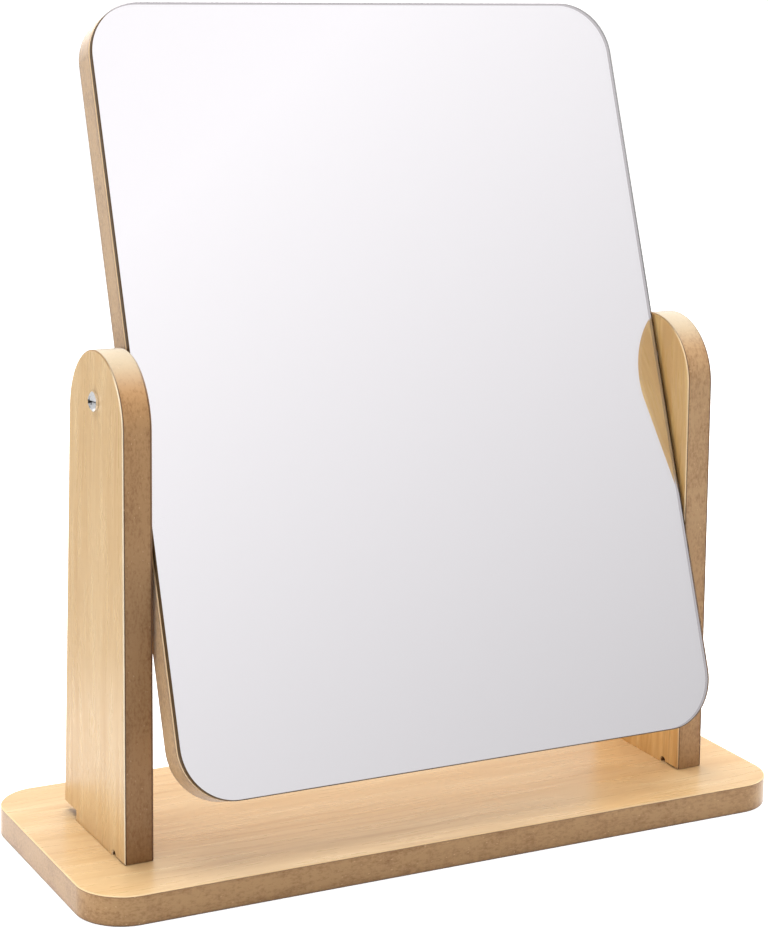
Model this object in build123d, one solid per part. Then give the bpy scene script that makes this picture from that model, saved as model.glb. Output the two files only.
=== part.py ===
from build123d import *

import os
from math import acos, atan2, cos, hypot, radians, sin

# Tilting table mirror: a slotted base board, two tenoned uprights and a frameless mirror panel that turns
# on screw pivots.
#
# Millimetres, +Z up. X runs along the base and -Y is the front. The origin is the middle of the base's
# underside. The panel is modelled leaning back by MIRROR_TILT, turned about its pivot line along X.

# ---- board stock: raw fibreboard with a wood-grain sheet glued to each broad face
CORE_THICKNESS = 9.0
FACING_THICKNESS = 0.35

# ---- base board
BASE_OVERHANG = 18.6            # beyond the outer face of each upright
BASE_DEPTH = 97.6
BASE_CORNER_RADIUS = 15.5

# ---- uprights, seen from the side
UPRIGHT_HEAD_RADIUS = 22.5
UPRIGHT_FOOT_WIDTH = 52.8
CROWN_ABOVE_PIVOT = 15.8
REAR_SHOULDER_LIFT = 2.8        # the rear shoulder stands clear of the base by this much

# ---- tenon on each upright and the slot it plugs into
TENON_WIDTH = 32.0
TENON_END_RECESS = 0.5          # the tenon stops this far short of the base's underside
SLOT_CLEARANCE = 0.05           # on each side of the tenon
RELIEF_RADIUS = 1.4             # half-round undercut in the front shoulder, beside the tenon

# ---- mirror panel, in its own plane
PANEL_WIDTH = 193.4
PANEL_HEIGHT = 252.0
PANEL_CORNER_RADIUS = 18.0
GLASS_THICKNESS = 1.8
GLASS_ARRIS = 0.3               # the ground bevel round both edges of the glass
TAPE_THICKNESS = 0.8
TAPE_INSET = 0.4                # the tape's outline lies this far inside the glass's
PIVOT_HEIGHT = 150.5            # above the base's underside
MIRROR_TILT = 20.3              # degrees, the panel's top leaning back

# ---- pivots: a pan-head screw through each upright and a washer into the panel's edge
SCREW_DIAMETER = 3.0
SCREW_LENGTH = 25.0             # under the head
SCREW_TIP_LENGTH = 4.0
SCREW_THREAD_BITE = 0.1         # how far the thread cuts into the wall of its pilot hole
PILOT_OVERDEPTH = 1.0           # the pilot hole goes this far past the screw's tip
PIVOT_RUNNING_CLEARANCE = 0.08  # radial, round the shank in the upright and the washer
HEAD_DIAMETER = 6.2
HEAD_HEIGHT = 2.1
HEAD_RIM_HEIGHT = 0.9
RECESS_SPAN = 3.8               # tip to tip of the cross
RECESS_SLOT_WIDTH = 1.3
RECESS_DEPTH = 1.3
RECESS_DRAFT = 12.0             # degrees
WASHER_DIAMETER = 6.4
WASHER_THICKNESS = 1.0

# ---- sizes that follow
BOARD_THICKNESS = CORE_THICKNESS + 2 * FACING_THICKNESS
UPRIGHT_INNER_X = PANEL_WIDTH / 2 + WASHER_THICKNESS
UPRIGHT_OUTER_X = UPRIGHT_INNER_X + BOARD_THICKNESS
UPRIGHT_MIDDLE_X = (UPRIGHT_INNER_X + UPRIGHT_OUTER_X) / 2
BASE_LENGTH = 2 * (UPRIGHT_OUTER_X + BASE_OVERHANG)
PIVOT_ABOVE_BASE = PIVOT_HEIGHT - BOARD_THICKNESS
UPRIGHT_HEIGHT = PIVOT_ABOVE_BASE + CROWN_ABOVE_PIVOT
PANEL_THICKNESS = BOARD_THICKNESS + TAPE_THICKNESS + GLASS_THICKNESS
SHANK_BORE_RADIUS = SCREW_DIAMETER / 2 + PIVOT_RUNNING_CLEARANCE

SIDES = {"left": -1, "right": 1}
BOARD_LAYERS = (FACING_THICKNESS, CORE_THICKNESS, FACING_THICKNESS)


def stack_layers(outline, plane, names, thicknesses):
    """Solids of one outline laid on each other from the plane towards its normal."""
    layers = {}
    height = 0.0
    for name, thickness in zip(names, thicknesses):
        layers[name] = extrude(plane.offset(height) * outline, thickness)
        height += thickness
    return layers


def base_outline():
    """The base seen from above: a rounded rectangle with a slot for each upright's tenon."""
    slot = Rectangle(BOARD_THICKNESS + 2 * SLOT_CLEARANCE, TENON_WIDTH + 2 * SLOT_CLEARANCE)
    outline = RectangleRounded(BASE_LENGTH, BASE_DEPTH, BASE_CORNER_RADIUS)
    for side in SIDES.values():
        outline -= Pos(side * UPRIGHT_MIDDLE_X, 0) * slot
    return outline


def upright_body():
    """The upright above its shoulders: a round head whose arc runs tangent into two tapering sides."""
    half_foot = UPRIGHT_FOOT_WIDTH / 2
    head_height = UPRIGHT_HEIGHT - UPRIGHT_HEAD_RADIUS
    reach = hypot(half_foot, head_height)
    side_slope = acos(UPRIGHT_HEAD_RADIUS / reach) - atan2(head_height, half_foot)
    tangent_x = UPRIGHT_HEAD_RADIUS * cos(side_slope)
    tangent_y = head_height + UPRIGHT_HEAD_RADIUS * sin(side_slope)
    edges = [
        Line((-half_foot, 0), (half_foot, 0)),
        Line((half_foot, 0), (tangent_x, tangent_y)),
        ThreePointArc((tangent_x, tangent_y), (0, UPRIGHT_HEIGHT), (-tangent_x, tangent_y)),
        Line((-tangent_x, tangent_y), (-half_foot, 0)),
    ]
    return make_face(edges)


def upright_outline():
    """The whole upright seen from the side, across Y and up from the base's top face at 0."""
    tenon_length = BOARD_THICKNESS - TENON_END_RECESS
    tenon = Pos(0, -tenon_length / 2) * Rectangle(TENON_WIDTH, tenon_length)
    rear_width = (UPRIGHT_FOOT_WIDTH - TENON_WIDTH) / 2
    rear_gap = Pos(TENON_WIDTH / 2 + rear_width / 2, REAR_SHOULDER_LIFT / 2) * Rectangle(
        rear_width, REAR_SHOULDER_LIFT
    )
    relief = Pos(-TENON_WIDTH / 2 - RELIEF_RADIUS, 0) * Circle(RELIEF_RADIUS)
    pivot_bore = Pos(0, PIVOT_ABOVE_BASE) * Circle(SHANK_BORE_RADIUS)
    return upright_body() + tenon - rear_gap - relief - pivot_bore


def pivot_screw():
    """A pan-head wood screw along +X, its head seated at the origin."""
    radius = SCREW_DIAMETER / 2
    rim_radius = HEAD_DIAMETER / 2
    crown = (-HEAD_HEIGHT, 0)
    rim = (-HEAD_RIM_HEIGHT, rim_radius)
    half_section = make_face([
        TangentArc(crown, rim, tangent=(0, 1)),
        Polyline(rim, (0, rim_radius), (0, radius), (SCREW_LENGTH - SCREW_TIP_LENGTH, radius),
                 (SCREW_LENGTH, 0), crown),
    ])
    head_top = Plane(origin=(-HEAD_HEIGHT, 0, 0), x_dir=(0, 1, 0), z_dir=(1, 0, 0))
    cross = Rectangle(RECESS_SPAN, RECESS_SLOT_WIDTH) + Rectangle(RECESS_SLOT_WIDTH, RECESS_SPAN)
    recess = extrude(head_top * cross, RECESS_DEPTH, taper=RECESS_DRAFT)
    return revolve(half_section, Axis.X) - recess


def x_cylinder(radius, start, end):
    """A round bar on the pivot line, from one X to another."""
    return Pos((start + end) / 2, 0, PIVOT_HEIGHT) * Rot(0, 90, 0) * Cylinder(radius, abs(end - start))


def base_parts():
    """The base board: underside facing, core and top facing."""
    names = ("base_bottom_facing", "base_core", "base_top_facing")
    return stack_layers(base_outline(), Plane.XY, names, BOARD_LAYERS)


def upright_parts(side_name):
    """One upright: the core and the facings on its outer and inner faces."""
    inner = f"{side_name}_upright_inner_facing"
    core = f"{side_name}_upright_core"
    outer = f"{side_name}_upright_outer_facing"
    if SIDES[side_name] > 0:
        start_x, names = UPRIGHT_INNER_X, (inner, core, outer)
    else:
        start_x, names = -UPRIGHT_OUTER_X, (outer, core, inner)
    plane = Plane(origin=(start_x, 0, BOARD_THICKNESS), x_dir=(0, 1, 0), z_dir=(1, 0, 0))
    return stack_layers(upright_outline(), plane, names, BOARD_LAYERS)


def panel_parts():
    """The mirror panel from back to front: faced board, mounting tape and glass, leaning back."""
    lean = radians(MIRROR_TILT)
    pivot = Plane(origin=(0, 0, PIVOT_HEIGHT), x_dir=(1, 0, 0), z_dir=(0, -cos(lean), sin(lean)))
    back = pivot.offset(-PANEL_THICKNESS / 2)
    outline = RectangleRounded(PANEL_WIDTH, PANEL_HEIGHT, PANEL_CORNER_RADIUS)
    names = ("panel_back_facing", "panel_core", "panel_front_facing")
    parts = stack_layers(outline, back, names, BOARD_LAYERS)

    pilot_depth = SCREW_LENGTH - BOARD_THICKNESS - WASHER_THICKNESS + PILOT_OVERDEPTH
    pilot_radius = SCREW_DIAMETER / 2 - SCREW_THREAD_BITE
    for side in SIDES.values():
        edge_x = side * PANEL_WIDTH / 2
        parts["panel_core"] -= x_cylinder(pilot_radius, edge_x, edge_x - side * pilot_depth)

    tape_outline = RectangleRounded(
        PANEL_WIDTH - 2 * TAPE_INSET, PANEL_HEIGHT - 2 * TAPE_INSET, PANEL_CORNER_RADIUS - TAPE_INSET
    )
    tape_plane = back.offset(BOARD_THICKNESS)
    parts["mirror_tape"] = extrude(tape_plane * tape_outline, TAPE_THICKNESS)
    glass_plane = tape_plane.offset(TAPE_THICKNESS)
    glass = extrude(glass_plane * outline, GLASS_THICKNESS)
    broad_faces = glass.faces().sort_by(SortBy.AREA)[-2:]
    parts["mirror_glass"] = chamfer(broad_faces.edges(), GLASS_ARRIS)
    return parts


def pivot_parts(side_name):
    """One pivot: the screw with its head on the upright's outer face, and the washer inside the upright."""
    side = SIDES[side_name]
    screw = Pos(-UPRIGHT_OUTER_X, 0, PIVOT_HEIGHT) * pivot_screw()
    washer_faces = side * UPRIGHT_INNER_X, side * PANEL_WIDTH / 2
    washer = x_cylinder(WASHER_DIAMETER / 2, *washer_faces) - x_cylinder(SHANK_BORE_RADIUS, *washer_faces)
    return {
        f"{side_name}_pivot_screw": mirror(screw, Plane.YZ) if side > 0 else screw,
        f"{side_name}_pivot_washer": washer,
    }


def all_parts():
    """Every piece of the mirror by name."""
    parts = base_parts() | panel_parts()
    for side_name in SIDES:
        parts |= upright_parts(side_name) | pivot_parts(side_name)
    return parts


os.makedirs("parts", exist_ok=True)
for node, solid in all_parts().items():
    export_step(solid, f"parts/{node}.step")
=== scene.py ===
"""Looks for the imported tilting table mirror.

A base board, two round-headed uprights and a frameless mirror panel on screw pivots. Each board is a raw
fibreboard core between two thin wood-grain facings. Every piece is in metres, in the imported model's frame:
+X along the base, -Y the mirrored side, +Z up, with the origin in the middle of the base's underside.
"""
import logging
from dataclasses import dataclass
from enum import Enum
from math import acos, atan2, cos, hypot, pi, radians, sin, tan

import bmesh
import bpy
from mathutils import Euler, Matrix, Vector


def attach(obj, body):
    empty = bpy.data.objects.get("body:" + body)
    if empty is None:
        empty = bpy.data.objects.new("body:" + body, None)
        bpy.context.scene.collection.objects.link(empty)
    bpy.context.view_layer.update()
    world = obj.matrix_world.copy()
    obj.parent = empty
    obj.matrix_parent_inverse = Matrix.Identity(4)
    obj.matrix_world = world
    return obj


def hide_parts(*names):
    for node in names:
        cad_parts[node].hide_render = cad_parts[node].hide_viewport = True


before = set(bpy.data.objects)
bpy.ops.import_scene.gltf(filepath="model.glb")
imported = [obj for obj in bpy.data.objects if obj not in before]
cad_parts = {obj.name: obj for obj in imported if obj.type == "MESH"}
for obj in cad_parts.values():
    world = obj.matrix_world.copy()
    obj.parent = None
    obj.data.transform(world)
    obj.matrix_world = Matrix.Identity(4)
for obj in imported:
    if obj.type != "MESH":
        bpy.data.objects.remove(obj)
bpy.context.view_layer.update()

LOG = logging.getLogger("table_mirror")

# Metres in a millimetre, and how near two points are, in metres, to count as one.
MM = 0.001
WELD = 1e-7
PANEL_LEAN = 20.3
WHITE = (1.0, 1.0, 1.0)

Point = tuple[float, float]
Loop = list[Point]
Triple = tuple[float, float, float]
Colour = Triple
Socket = bpy.types.NodeSocket
Value = Socket | float
Vec = Socket | Triple
Node = bpy.types.Node
Tree = bpy.types.NodeTree
Material = bpy.types.Material
Mesh = bpy.types.Mesh
Piece = bpy.types.Object


class Side(Enum):
    """The side of an upright or a pivot, as the sign of its X."""

    LEFT = -1
    RIGHT = 1

    @property
    def label(self) -> str:
        """The side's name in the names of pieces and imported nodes."""
        return self.name.lower()


class Body(Enum):
    """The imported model's bodies."""

    STAND = "stand"
    MIRROR = "mirror"


class Slot(Enum):
    """The record's material slots."""

    FACING = "grain_facing"
    FIBREBOARD = "raw_fibreboard"
    TAPE = "mounting_tape"
    MIRROR = "mirror"
    SCREW = "screw_chrome"
    WASHER = "washer_nylon"


class Axes(Enum):
    """The turn in degrees that lays a board's own axes on X along the grain, Y across it and Z its depth."""

    BASE = (0.0, 0.0, 0.0)
    UPRIGHT = (0.0, 90.0, 0.0)
    PANEL = (PANEL_LEAN - 90.0, 0.0, -90.0)


def srgb(red: float, green: float, blue: float) -> Colour:
    """Turns a colour as a screen shows it into the linear one that shaders take.

    Args:
        red: Red, from 0 to 255.
        green: Green, from 0 to 255.
        blue: Blue, from 0 to 255.

    Returns:
        The linear red, green and blue.
    """
    def linear(value: float) -> float:
        """One channel, linear."""
        share = value / 255
        return share / 12.92 if share <= 0.04045 else ((share + 0.055) / 1.055) ** 2.4

    return linear(red), linear(green), linear(blue)


# ---- graphs


class Graph:
    """Adds nodes to one shader or geometry tree and joins them."""

    def __init__(self, tree: Tree) -> None:
        """Works on the given tree."""
        self.tree = tree

    def feed(self, node: Node, inputs: dict) -> None:
        """Sets a node's inputs.

        Args:
            node: The node.
            inputs: Input name or index to a value, or to the socket to join it to. Colours have no alpha.
        """
        for key, value in inputs.items():
            socket = node.inputs[key]
            if isinstance(value, Socket):
                self.tree.links.new(value, socket)
            else:
                socket.default_value = (*value, 1.0) if socket.type == "RGBA" else value

    def add(self, kind: str, inputs: dict | None = None, **settings: object) -> Node:
        """Adds a node.

        Args:
            kind: The node's type, as bpy names it.
            inputs: What its inputs take, as in feed.
            **settings: The node's own properties.

        Returns:
            The node.
        """
        node = self.tree.nodes.new(kind)
        for name, value in settings.items():
            setattr(node, name, value)
        self.feed(node, inputs or {})
        return node

    def get(self, kind: str, inputs: dict | None = None, **settings: object) -> Socket:
        """Adds a node and gives its first output."""
        return self.add(kind, inputs, **settings).outputs[0]

    def math(self, operation: str, *values: Value) -> Socket:
        """The result of a maths node on up to three values or sockets."""
        return self.get("ShaderNodeMath", dict(enumerate(values)), operation=operation)

    def times(self, first: Value, second: Value) -> Socket:
        """The product of two values or sockets."""
        return self.math("MULTIPLY", first, second)

    def swing(self, value: Value, gain: float, base: Value = 0.0) -> Socket:
        """What a noise differs from its middle by, times a gain, added to a base."""
        return self.math("MULTIPLY_ADD", self.math("SUBTRACT", value, 0.5), gain, base)

    def clamp(self, value: Value, low: float = 0.0, high: float = 1.0) -> Socket:
        """A value kept between two others."""
        return self.get("ShaderNodeClamp", {"Value": value, "Min": low, "Max": high})

    def vector_math(self, operation: str, *values: Vec) -> Socket:
        """The vector that a vector maths node gives."""
        return self.get("ShaderNodeVectorMath", dict(enumerate(values)), operation=operation)

    def stretch(self, vector: Vec, factors: Triple) -> Socket:
        """A vector with each part times its own factor."""
        return self.vector_math("MULTIPLY", vector, factors)

    def scale(self, vector: Vec, factor: Value) -> Socket:
        """A vector times a number."""
        return self.get("ShaderNodeVectorMath", {0: vector, "Scale": factor}, operation="SCALE")

    def combine(self, x: Value, y: Value, z: Value) -> Socket:
        """A vector of three values or sockets."""
        return self.get("ShaderNodeCombineXYZ", {0: x, 1: y, 2: z})

    def parts(self, vector: Vec) -> tuple[Socket, ...]:
        """A vector's X, Y and Z."""
        return tuple(self.add("ShaderNodeSeparateXYZ", {0: vector}).outputs)

    def ramp(self, value: Value, low: float, high: float, start: float = 0.0, end: float = 1.0) -> Socket:
        """A smooth step: start below low, end above high."""
        inputs = {"Value": value, "From Min": low, "From Max": high, "To Min": start, "To Max": end}
        return self.get("ShaderNodeMapRange", inputs, interpolation_type="SMOOTHSTEP")

    def blend(self, factor: Value, first: Vec, second: Vec, how: str = "MIX") -> Socket:
        """The second colour laid over the first by a factor. Each is a linear colour or a socket."""
        inputs = {0: factor, 6: first, 7: second}
        return self.add("ShaderNodeMix", inputs, data_type="RGBA", blend_type=how).outputs[2]

    def grey(self, value: Value) -> Socket:
        """A grey of one value."""
        return self.combine(value, value, value)

    def shaded(self, colour: Vec, shade: Value) -> Socket:
        """A colour times one shade."""
        return self.blend(1.0, colour, self.grey(shade), "MULTIPLY")

    def noise(self, vector: Vec, detail: float, roughness: float = 0.5) -> Socket:
        """Noise of one lump per unit of the vector."""
        inputs = {"Vector": vector, "Scale": 1.0, "Detail": detail, "Roughness": roughness}
        return self.get("ShaderNodeTexNoise", inputs)

    def coordinates(self, kind: str) -> Socket:
        """Texture coordinates of one kind."""
        return self.add("ShaderNodeTexCoord").outputs[kind]

    def ray(self, kind: str) -> Socket:
        """1 where the ray is of one kind."""
        return self.add("ShaderNodeLightPath").outputs[f"Is {kind} Ray"]


class Group(Graph):
    """The graph of a node group with named sockets."""

    def __init__(self, name: str, kind: str, inputs: dict[str, str], outputs: dict[str, str]) -> None:
        """Makes the group.

        Args:
            name: The group's name.
            kind: ShaderNodeTree or GeometryNodeTree.
            inputs: Input name to socket type, without its NodeSocket prefix.
            outputs: Output name to socket type, the same.
        """
        super().__init__(bpy.data.node_groups.new(name, kind))
        for direction, sockets in (("INPUT", inputs), ("OUTPUT", outputs)):
            for socket, sort in sockets.items():
                self.tree.interface.new_socket(name=socket, in_out=direction, socket_type=f"NodeSocket{sort}")
        self.given = self.add("NodeGroupInput").outputs
        self.result = self.add("NodeGroupOutput")

    def put_out(self, outputs: dict[str, Socket]) -> Tree:
        """Joins the group's outputs and gives the group."""
        self.feed(self.result, outputs)
        return self.tree


class Effects:
    """The shader groups that several finishes share. All of them read board coordinates in millimetres."""

    def __init__(self) -> None:
        """Builds each group once."""
        self.straight_grain = self._straight_grain()
        self.pressed_fibre = self._pressed_fibre()
        self.handling = self._handling()

    @staticmethod
    def _straight_grain() -> Tree:
        """Straight wood figure: long fine streaks, broad bands, wandering year lines and short pores.

        Returns:
            The group. X runs along the grain and Y across it.
        """
        graph = Group("straight_grain", "ShaderNodeTree",
                      {"Vector": "Vector", "Pale": "Color", "Deep": "Color", "Line": "Color",
                       "Contrast": "Float", "Figure": "Float"},
                      {"Color": "Color", "Roughness": "Float", "Height": "Float"})
        given = graph.given
        along, across, depth = graph.parts(given["Vector"])

        def lumps(side: Socket, long: float, wide: float, detail: float, roughness: float = 0.5) -> Socket:
            """Noise with so many lumps per millimetre along the grain and across it."""
            place = graph.combine(graph.times(along, long), graph.times(side, wide), depth)
            return graph.noise(place, detail, roughness)

        wander = lumps(across, long=0.016, wide=0.045, detail=2.0)
        bent = graph.math("ADD", across, graph.swing(wander, 7.0))
        streak = lumps(bent, long=0.034, wide=0.48, detail=3.0, roughness=0.55)
        band = lumps(bent, long=0.007, wide=0.11, detail=2.0)
        rings = graph.math("SINE", graph.math("ADD", graph.times(bent, 1.55), graph.times(band, 16.0)))
        patch = lumps(across, long=0.013, wide=0.035, detail=1.0)
        year_line = graph.times(graph.ramp(rings, 0.45, 1.0), graph.ramp(patch, 0.42, 0.62))
        year_line = graph.times(year_line, given["Figure"])
        pore = graph.ramp(lumps(bent, long=0.16, wide=2.6, detail=2.0), 0.60, 0.78)

        tone = graph.swing(streak, 1.5, graph.swing(band, 1.6))
        tone = graph.clamp(graph.math("MULTIPLY_ADD", tone, given["Contrast"], 0.5))
        colour = graph.blend(tone, given["Pale"], given["Deep"])
        for mask in (year_line, graph.times(pore, 0.06)):
            colour = graph.blend(mask, colour, given["Line"])

        rough = graph.math("MULTIPLY_ADD", pore, 0.12, graph.math("MULTIPLY_ADD", streak, 0.08, 0.24))
        height = graph.math("SUBTRACT", graph.times(streak, 0.5), graph.times(pore, 0.5))
        return graph.put_out({"Color": colour, "Roughness": rough, "Height": height})

    @staticmethod
    def _pressed_fibre() -> Tree:
        """Cut fibreboard: a mat of short fibres with pale and reddish flecks, denser towards both faces.

        Returns:
            The group. Z is the depth in the board, 0 in its middle.
        """
        graph = Group("pressed_fibre", "ShaderNodeTree",
                      {"Vector": "Vector", "Body": "Color", "Dense": "Color", "Pale Fleck": "Color",
                       "Red Fleck": "Color", "Glue Line": "Color", "Half Thickness": "Float"},
                      {"Color": "Color", "Roughness": "Float", "Height": "Float"})
        given = graph.given
        vector = given["Vector"]
        depth = graph.parts(vector)[2]
        mat = graph.noise(graph.stretch(vector, (0.62, 0.95, 1.25)), 4.0, 0.68)
        cloud = graph.noise(graph.stretch(vector, (0.10, 0.10, 0.22)), 2.0)
        cutter = graph.noise(graph.stretch(vector, (0.9, 0.9, 0.03)), 1.0)

        edge = graph.math("DIVIDE", graph.math("ABSOLUTE", depth), given["Half Thickness"])
        tone = graph.swing(mat, 2.7, 0.12)
        for noise, gain in ((cloud, 1.2), (cutter, 0.35)):
            tone = graph.swing(noise, gain, tone)
        tone = graph.clamp(graph.math("ADD", tone, graph.ramp(edge, 0.55, 0.93, 0.0, 0.22)))
        colour = graph.blend(tone, given["Body"], given["Dense"])
        glued = graph.times(graph.ramp(edge, 0.905, 0.945), 0.85)
        colour = graph.blend(glued, colour, given["Glue Line"])

        warp = graph.stretch(graph.combine(mat, cutter, mat), (1.6, 1.6, 0.8))
        warped = graph.vector_math("ADD", vector, warp)

        def flecks(seed: float, cover: float) -> Socket:
            """A mask of scattered flecks.

            Args:
                seed: A shift that keeps one sort of fleck off the other.
                cover: The share of cells that hold a fleck.

            Returns:
                The mask.
            """
            place = graph.vector_math("ADD", warped, (seed, seed * 2, seed * 3))
            cell = graph.add("ShaderNodeTexVoronoi",
                             {"Vector": graph.stretch(place, (0.75, 0.75, 1.5)), "Scale": 1.0})
            chance = graph.get("ShaderNodeSeparateColor", {0: cell.outputs["Color"]})
            size = graph.ramp(chance, 1.0 - cover, 1.0, 0.0, 0.32)
            return graph.ramp(graph.math("SUBTRACT", size, cell.outputs["Distance"]), 0.0, 0.16)

        pale, red = flecks(seed=3.7, cover=0.17), flecks(seed=41.3, cover=0.10)
        colour = graph.blend(graph.times(pale, 0.55), colour, given["Pale Fleck"])
        colour = graph.blend(graph.times(red, 0.45), colour, given["Red Fleck"])

        rough = graph.math("MULTIPLY_ADD", mat, 0.16, 0.52)
        height = graph.math("ADD", mat, graph.times(pale, 0.25))
        return graph.put_out({"Color": colour, "Roughness": rough, "Height": height})

    @staticmethod
    def _handling() -> Tree:
        """Faint wiping marks that vary a roughness over lumps of one grain size.

        Returns:
            The group.
        """
        graph = Group("handling", "ShaderNodeTree",
                      {"Vector": "Vector", "Low": "Float", "High": "Float", "Grain Size": "Float"},
                      {"Roughness": "Float", "Height": "Float"})
        given = graph.given
        per_lump = graph.math("DIVIDE", 1.0, given["Grain Size"])
        marks = graph.noise(graph.scale(given["Vector"], per_lump), 4.0, 0.6)
        spread = graph.math("SUBTRACT", given["High"], given["Low"])
        rough = graph.math("MULTIPLY_ADD", graph.ramp(marks, 0.35, 0.7), spread, given["Low"])
        return graph.put_out({"Roughness": rough, "Height": marks})


# ---- finishes


@dataclass(frozen=True)
class Lie:
    """How a pattern lies on a board: its axes, and the point in the middle of the board, in millimetres."""

    OFFSET_ACROSS = 0.37

    axes: Axes
    middle: Triple = (0.0, 0.0, 0.0)
    offset: float = 0.0

    def coordinates(self, graph: Graph) -> Socket:
        """The board's own coordinates in millimetres, read from Object coordinates.

        Args:
            graph: The material's graph.

        Returns:
            The vector's socket.
        """
        turn = Euler([radians(angle) for angle in self.axes.value])
        shift = Vector((self.offset, self.offset * self.OFFSET_ACROSS, 0.0))
        inputs = {"Vector": graph.coordinates("Object"), "Rotation": turn, "Scale": (1 / MM,) * 3,
                  "Location": shift - turn.to_matrix() @ Vector(self.middle)}
        return graph.get("ShaderNodeMapping", inputs, vector_type="POINT")


class Surface(Graph):
    """The graph of a material with a Principled BSDF, and how its pattern lies."""

    def __init__(self, name: str, lie: Lie) -> None:
        """Makes the material.

        Args:
            name: The material's name.
            lie: How its pattern lies on the piece.
        """
        self.material = bpy.data.materials.new(name)
        self.material.use_nodes = True
        self.material.node_tree.nodes.clear()
        super().__init__(self.material.node_tree)
        self.shader = self.add("ShaderNodeBsdfPrincipled")
        self.output = self.add("ShaderNodeOutputMaterial", {"Surface": self.shader.outputs[0]})
        self.lie = lie

    def paint(self, inputs: dict) -> None:
        """Sets the BSDF's inputs."""
        self.feed(self.shader, inputs)

    def effect(self, group: Tree, inputs: dict) -> bpy.types.NodeOutputs:
        """Places a shared effect on the board's own coordinates and gives its outputs."""
        values = {"Vector": self.lie.coordinates(self), **inputs}
        return self.add("ShaderNodeGroup", values, node_tree=group).outputs

    def relief(self, height: Socket, depth_mm: float, strength: float) -> Socket:
        """The normal of a surface whose height, from 0 to 1, is so deep."""
        return self.get("ShaderNodeBump", {"Height": height, "Distance": depth_mm * MM, "Strength": strength})

    def facing(self, axis: int) -> Socket:
        """How far the surface faces along X, Y or Z, from -1 to 1."""
        return self.parts(self.coordinates("Normal"))[axis]


@dataclass(frozen=True)
class Finish:
    """A finish that materials are made of."""

    def material(self, name: str, lie: Lie) -> Material:
        """Makes a material of the finish.

        Args:
            name: The material's name.
            lie: How its pattern lies on the piece.

        Returns:
            The material.
        """
        surface = Surface(name, lie)
        self.dress(surface)
        return surface.material

    def dress(self, surface: Surface) -> None:
        """Sets the surface's shader, in each finish's own way."""
        raise NotImplementedError


@dataclass(frozen=True)
class GrainFacing(Finish):
    """The satin wood-grain sheet on a board's broad face, with the colours of its two sheets' eased edges."""

    effects: Effects
    pale: Colour = srgb(213, 182, 135)
    deep: Colour = srgb(199, 162, 110)
    line: Colour = srgb(172, 122, 70)
    # The eased edges' colours: partly the cut sheet's own tone, partly painted highlight and painted shade.
    near_edge: Colour = srgb(252, 234, 204)
    near_rear: Colour = srgb(150, 118, 78)
    far_edge: Colour = srgb(138, 100, 62)
    contrast: float = 1.0
    figure: float = 0.35
    gloss: float = 0.5
    depth_mm: float = 0.03

    def dress(self, surface: Surface) -> None:
        """Lays the grain on a sheet.

        Args:
            surface: The sheet's surface.
        """
        grain = surface.effect(self.effects.straight_grain, {
            "Pale": self.pale, "Deep": self.deep, "Line": self.line, "Contrast": self.contrast,
            "Figure": self.figure})
        surface.paint({"Base Color": grain["Color"], "Roughness": grain["Roughness"],
                       "Specular IOR Level": self.gloss,
                       "Normal": surface.relief(grain["Height"], self.depth_mm, 0.3)})


@dataclass(frozen=True)
class RawFibreboard(Finish):
    """Fibreboard's bare cut edge, toned by painted shade with height, with a painted highlight on top."""

    FOOT_LEVEL = 0.075
    HEAD_LEVEL = 0.165

    effects: Effects
    body: Colour = srgb(182, 140, 94)
    dense: Colour = srgb(144, 100, 59)
    pale_fleck: Colour = srgb(228, 192, 148)
    red_fleck: Colour = srgb(166, 104, 70)
    glue_line: Colour = srgb(80, 52, 30)
    # A painted highlight: a pale tone laid over faces that turn upwards, with its share and starting slope.
    sanded: Colour = srgb(183, 171, 146)
    sanded_share: float = 0.0
    sanded_from: float = 0.52
    half_thickness: float = 4.5
    # Painted shade: the edge's tone at the foot level and at the head level.
    shade: float = 1.0
    head_shade: float = 1.0
    gloss: float = 0.5
    sheen: float = 0.9
    sheen_roughness: float = 0.35
    depth_mm: float = 0.12

    def dress(self, surface: Surface) -> None:
        """Lays the fibres on a cut edge.

        Args:
            surface: The edge's surface.
        """
        fibre = surface.effect(self.effects.pressed_fibre, {
            "Body": self.body, "Dense": self.dense, "Pale Fleck": self.pale_fleck,
            "Red Fleck": self.red_fleck, "Glue Line": self.glue_line, "Half Thickness": self.half_thickness})
        height = surface.parts(surface.coordinates("Object"))[2]
        # Painted shade: a tone that runs from the foot level to the head level.
        shade = surface.ramp(height, self.FOOT_LEVEL, self.HEAD_LEVEL, self.shade, self.head_shade)
        # Painted highlight: the pale tone laid over faces that turn upwards.
        sanded = surface.ramp(surface.facing(2), self.sanded_from, 1.0, 0.0, self.sanded_share)
        colour = surface.blend(sanded, surface.shaded(fibre["Color"], shade), self.sanded)
        surface.paint({"Base Color": colour, "Roughness": fibre["Roughness"],
                       "Specular IOR Level": self.gloss, "Sheen Weight": self.sheen,
                       "Sheen Roughness": self.sheen_roughness,
                       "Normal": surface.relief(fibre["Height"], self.depth_mm, 0.6)})


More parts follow.
